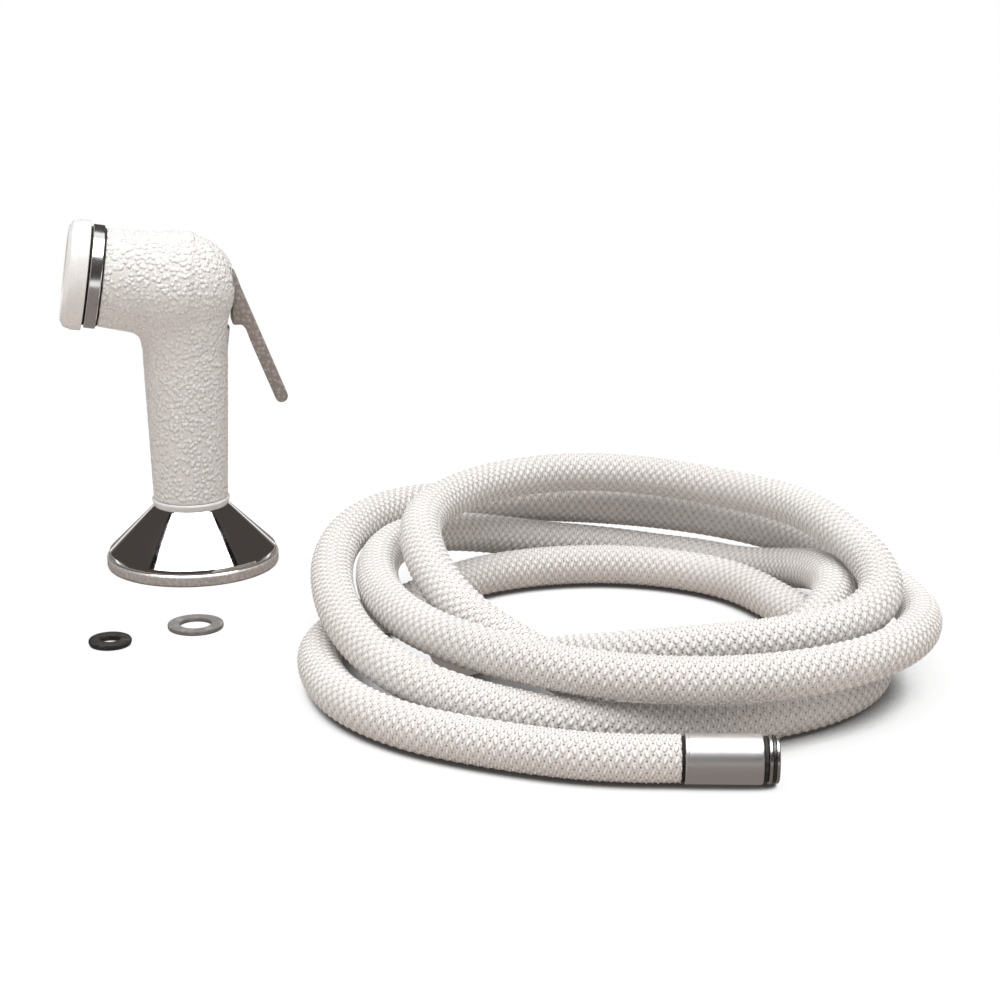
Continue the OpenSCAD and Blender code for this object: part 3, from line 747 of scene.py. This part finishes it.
def paint_gap_shade(piece, place, chosen):
    """Gives the faces that chosen(radius, height) picks a near-black material, as painted shade for an
    unlit gap.
    """
    piece.data.materials.append(painted_gap_shade.material)
    back = to_metres(place).inverted()
    for face in piece.data.polygons:
        spot = (back @ face.center) / MM
        if chosen(math.hypot(spot.x, spot.y), spot.z):
            face.material_index = 1


body = make_body()
dress(body, pebbled, "sprayer", ("sprayer_body",))

CAP_AT = 32.8
CAP_END = 40.1
CAP_R = 18.8
RING_R = 17.65
SPIGOT_R = 15.65
GAP_R = RING_R - 0.9
JET_RINGS = 4
JET_STEP = 4.0
JET_SIDES = 14

ring = lathe("chrome_band", [
    (SPIGOT_R, 27.6), (GAP_R, 27.6), (GAP_R, 28.05), (RING_R - 0.2, 28.05, 0.1),
    (RING_R, 28.3, 0.15), (RING_R, 31.75, 0.15), (RING_R - 0.2, 32.0, 0.1),
    (GAP_R, 32.0), (GAP_R, 32.75), (SPIGOT_R, 32.75)], HEAD_PLACE, 160)
dress(ring, band_chrome, "sprayer", ("chrome_ring",))
# Painted shade: the band's recessed faces are painted near black.
paint_gap_shade(ring, HEAD_PLACE, lambda r, z: r < GAP_R + 0.01)

cap = lathe("front_cap", [
    (15.7, CAP_AT), (CAP_R - 0.1, CAP_AT, 0.4), (CAP_R, CAP_AT + 3.6, 0.2),
    (CAP_R - 0.25, CAP_AT + 3.9, 0.15), (CAP_R - 0.75, CAP_END - 1.35, 1.4),
    (CAP_R - 2.9, CAP_END, 1.6), (14.5, CAP_END, 0.35), (14.1, 38.55, 0.1), (15.7, 38.5)],
    HEAD_PLACE, 160)
dress(cap, smooth_white, "sprayer", ("face_cap",))


def make_spray_face():
    """The disc behind the cap's opening, its jets as small raised nozzles in rings."""
    plate = lathe("jet_plate", [
        (0, 37.2), (15.4, 37.2, 0.2), (15.4, 38.4, 0.2), (13.9, 38.45, 0.1), (13.9, 39.05, 0.3),
        (0, 39.05)], HEAD_PLACE, 128)
    nozzles = bmesh.new()
    nozzles.from_mesh(plate.data)
    profile = [(0.95, 38.9), (0.85, 39.45), (0.62, 39.6), (0.42, 39.5), (0.36, 38.7)]
    for ring_no in range(JET_RINGS):
        reach = ring_no * JET_STEP
        count = max(1, 6 * ring_no)
        for k in range(count):
            a = 2 * math.pi * k / count
            spot = Vector((reach * math.cos(a), reach * math.sin(a), 0))
            loops = []
            for r, z in profile:
                loops.append([nozzles.verts.new(to_metres(HEAD_PLACE) @ (
                    (spot + Vector((r * math.cos(b), r * math.sin(b), z))) * MM))
                    for b in (2 * math.pi * n / JET_SIDES for n in range(JET_SIDES))])
            for low, high in zip(loops, loops[1:]):
                for n in range(JET_SIDES):
                    m = (n + 1) % JET_SIDES
                    nozzles.faces.new((low[n], low[m], high[m], high[n]))
            nozzles.faces.new(list(loops[-1]))
            nozzles.faces.new(list(reversed(loops[0])))
    nozzles.to_mesh(plate.data)
    nozzles.free()
    smooth_but_sharp(plate, SHARP_ANGLE)
    return plate


jets = make_spray_face()
dress(jets, face_plastic, "sprayer", ("spray_face",))

# ---------------------------------------------------------------- lever

PIN_X, PIN_Z = 15.8, 99.8
LEAN = math.radians(21.5)
# Thickness, how much of it lies inside the pin's axis, width and length from the pin to the tip
LEVER_T, LEVER_IN, LEVER_W, LEVER_LEN = 4.4, 1.6, 12, 45.6
HUB_R = 2.9
LEVER_SHARP = 50
# The block that presses the stem: its face and its lower edge
BLOCK_X, BLOCK_LOW = 16.2, 85.2


def lever_outline():
    """The lever's side as (x, z) points: crest, back, round tip, inner face and push block."""
    down = np.array([math.sin(LEAN), -math.cos(LEAN)])
    back = np.array([math.cos(LEAN), math.sin(LEAN)])
    pin = np.array([PIN_X, PIN_Z])
    outer, inner = LEVER_T - LEVER_IN, -LEVER_IN
    tip = pin + down * (LEVER_LEN - LEVER_T / 2) + back * (LEVER_T / 2 - LEVER_IN)
    crest = np.array([PIN_X, PIN_Z + 1.2])
    points = [crest + 2.6 * np.array([math.cos(a), math.sin(a)])
        for a in np.radians(np.arange(180, 20, -12))]
    points += [pin + back * outer + down * s for s in (3, 14, 28, LEVER_LEN - LEVER_T / 2)]
    points += [tip + LEVER_T / 2 * (math.cos(a) * back + math.sin(a) * down)
        for a in np.radians(np.arange(15, 180, 15))]
    points += [pin + back * inner + down * s for s in (LEVER_LEN - LEVER_T / 2, 30, 21.5)]
    low = PIN_X + (PIN_Z - BLOCK_LOW) * math.tan(LEAN) - LEVER_IN / math.cos(LEAN)
    points += [np.array(p) for p in (
        (low + 0.9, BLOCK_LOW - 1.6), (low - 0.1, BLOCK_LOW - 0.25), (low - 0.9, BLOCK_LOW + 0.1),
        (BLOCK_X + 0.5, BLOCK_LOW + 0.1), (BLOCK_X, BLOCK_LOW + 0.6), (BLOCK_X, 95.5),
        (14.4, 97.3), (PIN_X - HUB_R, PIN_Z), (PIN_X - HUB_R + 0.05, PIN_Z + 0.6))]
    return points


def make_lever():
    """The lever's side drawn out to its width, its edges rounded."""
    side = lever_outline()
    count = len(side)
    half = LEVER_W / 2 - 0.05
    points = [(x, y, z) for y in (-half, half) for x, z in side]
    faces = [tuple(range(count)), tuple(reversed(range(count, 2 * count)))]
    faces += [(i, i + count, (i + 1) % count + count, (i + 1) % count) for i in range(count)]
    piece = add_mesh("thumb_lever", points, faces)
    face_outwards(piece)
    bevel(piece, 0.55, 3, LEVER_SHARP)
    smooth_but_sharp(piece, LEVER_SHARP)
    return piece


lever = make_lever()
dress(lever, lever_painted_shade_plastic, "lever", ("lever",))

# ---------------------------------------------------------------- holder

BASE_R = 30.0
CONE_H = 21.3

cone = lathe("chrome_cone", [
    (22, 0), (BASE_R - 0.25, 0, 0.3), (BASE_R, 0.6, 0.4), (BASE_R, 3.1, 0.5),
    (BASE_R - 0.75, 3.85, 0.3), (29.35, 4.3, 0.3), (29.0, 5.3, 0.5), (13.1, 20.95, 0.3),
    (12.8, CONE_H, 0.2), (12.12, CONE_H), (12.12, 20.7), (27.1, 5.2), (22, 3.0)], None, 192)
dress(cone, cone_chrome, "holder", ("holder_cone",))

collar = lathe("liner_collar", [
    (10.75, 3), (12.03, 3, 0.3), (12.03, CONE_H + 0.03), (12.85, CONE_H + 0.03, 0.1),
    (13.6, 23.35, 0.3), (13.3, 23.88, 0.2), (10.75, 23.88)], None, 160)
dress(collar, smooth_white, "liner", ("holder_liner",))

# ---------------------------------------------------------------- washers


def washer(name, at, d, hole, t, edge, shader, node):
    """A washer that lies on the worktop: outer and inner diameter, thickness and rounding."""
    piece = lathe(name, [
        (hole / 2, 0, edge), (d / 2, 0, edge), (d / 2, t, edge), (hole / 2, t, edge)],
        Matrix.Translation((*at, 0)), 96)
    dress(piece, shader, "holder", (node,))


washer("seat_washer", (-3.2, -71.2), 18, 10.3, 1.2, 0.25,
    grey_rubber, "large_washer")
washer("cone_washer", (-30.7, -82.8), 13.6, 6.2, 1.9, 0.8,
    black_rubber, "small_washer")

# ---------------------------------------------------------------- hose fittings


def level_place(start, end_point, z):
    """A placing matrix whose Z axis runs level from start towards a second point."""
    turn = math.atan2(end_point[1] - start[1], end_point[0] - start[0])
    facing = Matrix.Rotation(turn, 4, "Z") @ Matrix.Rotation(math.pi / 2, 4, "Y")
    return Matrix.Translation((start[0], start[1], z)) @ facing


def beyond(end, before):
    """The level point as far past a line's end as the point before lies in front of it."""
    return 2 * end[0] - before[0], 2 * end[1] - before[1]


SPRAY_END = level_place(RUN_ROUTE[0], beyond(RUN_ROUTE[0], RUN_ROUTE[1]), LIE)
FAUCET_END = level_place(COIL_TAIL[2], beyond(COIL_TAIL[2], COIL_TAIL[1]), COIL_TAIL[2][2])
FERRULE_LEN = 22
SEAL_END = 23.3
GROOVE_AT, GROOVE_END, TIP_END = 24.3, 25.3, 26.3

ferrule = lathe("crimped_ferrule", [
    (4.2, 0.05), (6.1, 0.05), (6.1, 1.0), (6.6, 1.0, 0.1), (6.88, 1.25, 0.25), (6.88, 1.75, 0.25),
    (6.78, 2.1, 0.3), (6.84, 2.6, 0.3), (6.86, FERRULE_LEN - 1.0, 0.3),
    (6.8, FERRULE_LEN - 0.3, 0.3), (6.5, FERRULE_LEN, 0.2), (4.2, FERRULE_LEN)],
    SPRAY_END, 128)
dress(ferrule, satin, "holder", ("spray_ferrule",))
# Painted shade: the groove at the ferrule's start is painted near black.
paint_gap_shade(ferrule, SPRAY_END, lambda r, z: z < 1.02)
seal = lathe("ferrule_seal", [
    (4.2, FERRULE_LEN), (6.3, FERRULE_LEN, 0.5), (6.3, SEAL_END, 0.5), (4.2, SEAL_END)],
    SPRAY_END, 96)
dress(seal, black_rubber, "holder", ("end_seal",))
nipple = lathe("end_nipple", [
    (3.2, 0.1), (4.15, 0.1), (4.15, SEAL_END + 0.02), (6.65, SEAL_END + 0.02, 0.3),
    (6.65, GROOVE_AT, 0.25), (5.8, GROOVE_AT + 0.02), (5.8, GROOVE_END),
    (6.55, GROOVE_END, 0.2), (6.45, TIP_END - 0.05, 0.35),
    (3.7, TIP_END - 0.05, 0.2), (3.2, TIP_END - 0.6)], SPRAY_END, 128)
dress(nipple, steel, "holder", ("spray_nipple",))


def make_snap_ring():
    """A split round-edged ring in the nipple's groove."""
    turns, gap = 96, math.radians(11)
    low, high = GROOVE_AT + 0.07, GROOVE_END - 0.07
    outline = rounded(
        [(5.85, low, 0.1), (6.48, low, 0.25), (6.48, high, 0.25), (5.85, high, 0.1)], 4)
    count = len(outline)
    points, faces = [], []
    for j in range(turns + 1):
        a = gap + (2 * math.pi - 2 * gap) * j / turns
        points += [(r * math.cos(a), r * math.sin(a), z) for r, z in outline]
    for j in range(turns):
        for i in range(count):
            n = (i + 1) % count
            faces.append((j * count + i, (j + 1) * count + i, (j + 1) * count + n, j * count + n))
    faces += [tuple(range(count)), tuple(reversed(range(turns * count, (turns + 1) * count)))]
    piece = add_mesh("split_ring", points, faces, SHARP_ANGLE)
    piece.data.transform(to_metres(SPRAY_END))
    return piece


snap = make_snap_ring()
dress(snap, dark_steel, "holder", ("snap_ring",))

tail_ferrule = lathe("faucet_end_ferrule", [
    (4.2, 0.05), (6.45, 0.05, 0.2), (6.86, 0.5, 0.3), (6.86, 12.6, 0.3), (6.5, 13, 0.2), (4.2, 13)],
    FAUCET_END, 128)
dress(tail_ferrule, satin, "holder", ("faucet_ferrule",))
tail_nipple = lathe("faucet_end_nipple", [
    (3.2, 0.1), (4.15, 0.1), (4.15, 13.02), (7.3, 13.02, 0.2), (7.3, 14.4, 0.3),
    (6.2, 15.2, 0.3), (3.2, 15.2)],
    FAUCET_END, 96)
dress(tail_nipple, brass, "holder", ("faucet_nipple",))


NUT_FLAT, NUT_AT, NUT_END = 9.5, 9.95, 22.85
NUT_NECK_R, NUT_NECK_LEN = 7.0, 3.02
THREAD_LOW_R, THREAD_TOP_R, THREAD_PITCH = 7.9, 7.5, 1.1


def make_nut():
    """A hexagonal union nut with chamfered corners and turns of thread in its mouth."""
    start, end = NUT_AT, NUT_END
    low, top = THREAD_LOW_R, THREAD_TOP_R
    corner = NUT_FLAT / math.cos(math.pi / 6)
    turns = 96
    sections = [
        (corner - 1.35, start), (corner, start + 1.0), (corner, end - 1.0), (corner - 1.35, end)]
    inner = [(low, end), (top, end - 0.6)]
    z = end - 1.0
    while z > start + 3.6:
        inner += [(low, z), (low, z - 0.25), (top, z - 0.55), (top, z - 0.8)]
        z -= THREAD_PITCH
    neck = start + NUT_NECK_LEN
    inner += [(top, neck), (NUT_NECK_R, neck), (NUT_NECK_R, start)]
    points = []
    for j in range(turns):
        a = 2 * math.pi * j / turns
        to_flat = NUT_FLAT / math.cos((a + math.pi / 6) % (math.pi / 3) - math.pi / 6)
        for r, at in sections:
            points.append((min(r, to_flat) * math.cos(a), min(r, to_flat) * math.sin(a), at))
        points += [(r * math.cos(a), r * math.sin(a), at) for r, at in inner]
    count = len(sections) + len(inner)
    faces = []
    for j in range(turns):
        k = (j + 1) % turns
        for i in range(count):
            n = (i + 1) % count
            faces.append((j * count + i, k * count + i, k * count + n, j * count + n))
    piece = add_mesh("hex_nut", points, faces, 30)
    face_outwards(piece)
    piece.data.transform(to_metres(FAUCET_END))
    return piece


nut = make_nut()
dress(nut, chrome, "nut", ("union_nut",))

# ---------------------------------------------------------------- CAD nodes that stay

CAD_LOOKS = {
    "base_gasket": black_rubber, "tail_nut": smooth_white, "inlet_socket": brass,
    "water_tube": smooth_white, "tube_seal": black_rubber, "flow_disc": smooth_white,
    "face_seal": black_rubber, "lever_pin": steel, "valve_body": brass, "valve_plug": brass,
    "valve_gland": brass, "gland_seal": black_rubber, "valve_stem": smooth_white,
    "valve_washer": black_rubber, "valve_spring": steel,
}
for node, shader in CAD_LOOKS.items():
    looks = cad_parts[node].data
    looks.materials.clear()
    looks.materials.append(shader.material)

# ---------------------------------------------------------------- studio


def studio_material(name):
    """An empty node material: its nodes, its links, its output and itself."""
    material = bpy.data.materials.new(name)
    material.use_nodes = True
    nodes, links = material.node_tree.nodes, material.node_tree.links
    nodes.clear()
    return nodes, links, nodes.new("ShaderNodeOutputMaterial"), material


def seen_directly(nodes, links):
    """1 for camera, glossy and transmission rays, 0 for the rays that light the object."""
    path = nodes.new("ShaderNodeLightPath")
    total = path.outputs["Is Camera Ray"]
    for name in ("Is Glossy Ray", "Is Transmission Ray"):
        more = nodes.new("ShaderNodeMath")
        more.operation = "MAXIMUM"
        links.new(total, more.inputs[0])
        links.new(path.outputs[name], more.inputs[1])
        total = more.outputs[0]
    return total


SQUARE = ((-1, -1), (1, -1), (1, 1), (-1, 1))
FLOOR_CENTRE = (0.07, -0.1)
FLOOR_HALF = 30
FLOOR_DROP = 0.0002
# The floor as it lights the object from below, which the camera doesn't see
WARM_FLOOR = (0.6, 0.55, 0.515)
FILL_LIGHT = 0.55
CREVICE_REACH = 0.03
# (share of open sky, brightness) of the floor's painted crevice shade: where a crevice is darkest and
# where the floor is plain white
CREVICE_STOPS = ((0.24, 0.03), (0.43, 1.0))
# (distance from the centre, share of glow) where the floor's glow starts to grow and is full
GLOW_FROM, GLOW_TO = (0.16, 0.8), (0.42, 1.0)


def make_floor():
    """White, with the object's shadow kept, and its glow darkened as painted shade only where pieces
    close it in.
    """
    mesh = bpy.data.meshes.new("floor")
    corners = [(FLOOR_HALF * x, FLOOR_HALF * y, 0) for x, y in SQUARE]
    mesh.from_pydata(corners, [], [(0, 1, 2, 3)])
    floor = new_object("floor", mesh)
    floor.location.z = -FLOOR_DROP
    nodes, links, out, material = studio_material("floor")
    seen = seen_directly(nodes, links)
    pale = nodes.new("ShaderNodeBsdfDiffuse")
    pale.inputs[0].default_value = (0.9, 0.9, 0.9, 1)
    # Painted shade: ambient occlusion darkens the floor's glow in crevices and at contacts.
    closed_in = nodes.new("ShaderNodeAmbientOcclusion")
    closed_in.samples = 16
    closed_in.inputs["Distance"].default_value = CREVICE_REACH
    shade = nodes.new("ShaderNodeValToRGB")
    for stop, (position, level) in zip(shade.color_ramp.elements, CREVICE_STOPS):
        stop.position = position
        stop.color = (level, level * 0.97, level * 0.95, 1) if level < 1 else (1, 1, 1, 1)
    links.new(closed_in.outputs["AO"], shade.inputs[0])
    glow = nodes.new("ShaderNodeEmission")
    links.new(shade.outputs[0], glow.inputs[0])
    place = nodes.new("ShaderNodeTexCoord")
    away = nodes.new("ShaderNodeVectorMath")
    away.operation = "DISTANCE"
    away.inputs[1].default_value = (*FLOOR_CENTRE, 0)
    links.new(place.outputs["Object"], away.inputs[0])
    share = nodes.new("ShaderNodeMapRange")
    for name, number in zip(("From Min", "To Min", "From Max", "To Max"), GLOW_FROM + GLOW_TO):
        share.inputs[name].default_value = number
    links.new(away.outputs["Value"], share.inputs["Value"])
    white = nodes.new("ShaderNodeMixShader")
    links.new(share.outputs["Result"], white.inputs[0])
    links.new(pale.outputs[0], white.inputs[1])
    links.new(glow.outputs[0], white.inputs[2])
    warm = nodes.new("ShaderNodeBsdfDiffuse")
    warm.inputs[0].default_value = (*WARM_FLOOR, 1)
    mix = nodes.new("ShaderNodeMixShader")
    links.new(seen, mix.inputs[0])
    links.new(warm.outputs[0], mix.inputs[1])
    links.new(white.outputs[0], mix.inputs[2])
    links.new(mix.outputs[0], out.inputs[0])
    mesh.materials.append(material)


def make_world():
    """Plain white to the camera and in reflections, and a weaker fill light on the object."""
    world = bpy.data.worlds.new("studio")
    bpy.context.scene.world = world
    world.use_nodes = True
    nodes, links = world.node_tree.nodes, world.node_tree.links
    nodes.clear()
    out = nodes.new("ShaderNodeOutputWorld")
    seen = seen_directly(nodes, links)
    white, fill = nodes.new("ShaderNodeBackground"), nodes.new("ShaderNodeBackground")
    white.inputs[0].default_value = (1, 1, 1, 1)
    fill.inputs[0].default_value = (1, 0.985, 0.97, 1)
    fill.inputs[1].default_value = FILL_LIGHT
    mix = nodes.new("ShaderNodeMixShader")
    links.new(seen, mix.inputs[0])
    links.new(fill.outputs[0], mix.inputs[1])
    links.new(white.outputs[0], mix.inputs[2])
    links.new(mix.outputs[0], out.inputs[0])


def make_lamp(name, at, aim, size, watts):
    """A rectangular lamp that shines from one place towards another."""
    data = bpy.data.lights.new(name, "AREA")
    data.shape = "RECTANGLE"
    data.size, data.size_y = size
    data.energy = watts
    lamp = new_object(name, data)
    lamp.location = at
    lamp.rotation_euler = (Vector(aim) - Vector(at)).to_track_quat("-Z", "Y").to_euler()


def add_card(name, points, faces):
    """A glowing surface that only polished pieces mirror: its nodes, its links and its glow."""
    mesh = bpy.data.meshes.new(name)
    mesh.from_pydata(points, [], faces)
    card = new_object(name, mesh)
    nodes, links, out, material = studio_material(name)
    glow = nodes.new("ShaderNodeEmission")
    links.new(glow.outputs[0], out.inputs[0])
    mesh.materials.append(material)
    for ray in ("camera", "diffuse", "transmission", "volume_scatter", "shadow"):
        setattr(card, "visible_" + ray, False)
    return nodes, links, glow


# The wall's (radius, height) rows, and the (height, colour) pairs between which it darkens
WALL_ROWS = [(2.4, 0.10), (2.4, 0.45), (2.3, 1.3), (2.0, 2.0), (1.62, 2.25)]
WALL_STOPS = ((0.14, (0.36, 0.33, 0.31)), (0.30, (0.068, 0.058, 0.053)))


def make_dark_wall():
    """Glowing dark cards round the object as painted reflection of studio walls, seen only in
    reflections, open above where the softbox hangs.
    """
    turns = 64
    angles = [2 * math.pi * j / turns for j in range(turns)]
    points = [(r * math.cos(a), r * math.sin(a) + FLOOR_CENTRE[1], z)
        for r, z in WALL_ROWS for a in angles]
    faces = []
    for i in range(0, (len(WALL_ROWS) - 1) * turns, turns):
        for j in range(turns):
            n = (j + 1) % turns
            faces.append((i + j, i + n, i + turns + n, i + turns + j))
    # Painted reflection: the wall glows dark, is seen only in reflections, and darkens upwards.
    nodes, links, glow = add_card("dark_wall", points, faces)
    place = nodes.new("ShaderNodeTexCoord")
    split = nodes.new("ShaderNodeSeparateXYZ")
    ramp = nodes.new("ShaderNodeValToRGB")
    for stop, (position, colour) in zip(ramp.color_ramp.elements, WALL_STOPS):
        stop.position = position
        stop.color = (*colour, 1)
    links.new(place.outputs["Object"], split.inputs[0])
    links.new(split.outputs["Z"], ramp.inputs[0])
    links.new(ramp.outputs[0], glow.inputs[0])


def make_card(name, at, size, hole, colour):
    """A level card of one colour, with a rectangular hole if hole isn't (0, 0)."""
    rings = [size, hole] if hole[0] else [size]
    points = [(at[0] + w / 2 * x, at[1] + d / 2 * y, at[2])
        for w, d in rings for x, y in SQUARE]
    faces = [(0, 1, 2, 3)]
    if hole[0]:
        faces = [(k, (k + 1) % 4, (k + 1) % 4 + 4, k + 4) for k in range(4)]
    glow = add_card(name, points, faces)[2]
    glow.inputs[0].default_value = (*colour, 1)


LAMP_OVER = (0.0, -0.45)
LAMP_Z = 2.0
LAMP_SIZE = (2.7, 1.7)
LAMP_WATTS = 57

make_floor()
make_world()
make_dark_wall()
# Painted reflection: a dark glowing card on the floor, seen only in reflections, for the floor in
# shade.
make_card("painted_table_reflection", (*FLOOR_CENTRE, -FLOOR_DROP / 2), (0.75, 0.75), (0, 0),
    (0.24, 0.21, 0.195))
# Painted reflection: a near-black glowing frame round the lamp, seen only in reflections.
make_card("softbox_edge", (*LAMP_OVER, LAMP_Z + 0.01), (3.1, 2.1), LAMP_SIZE,
    (0.004, 0.004, 0.004))
make_lamp("softbox", (*LAMP_OVER, LAMP_Z), (*LAMP_OVER, 0), LAMP_SIZE, LAMP_WATTS)
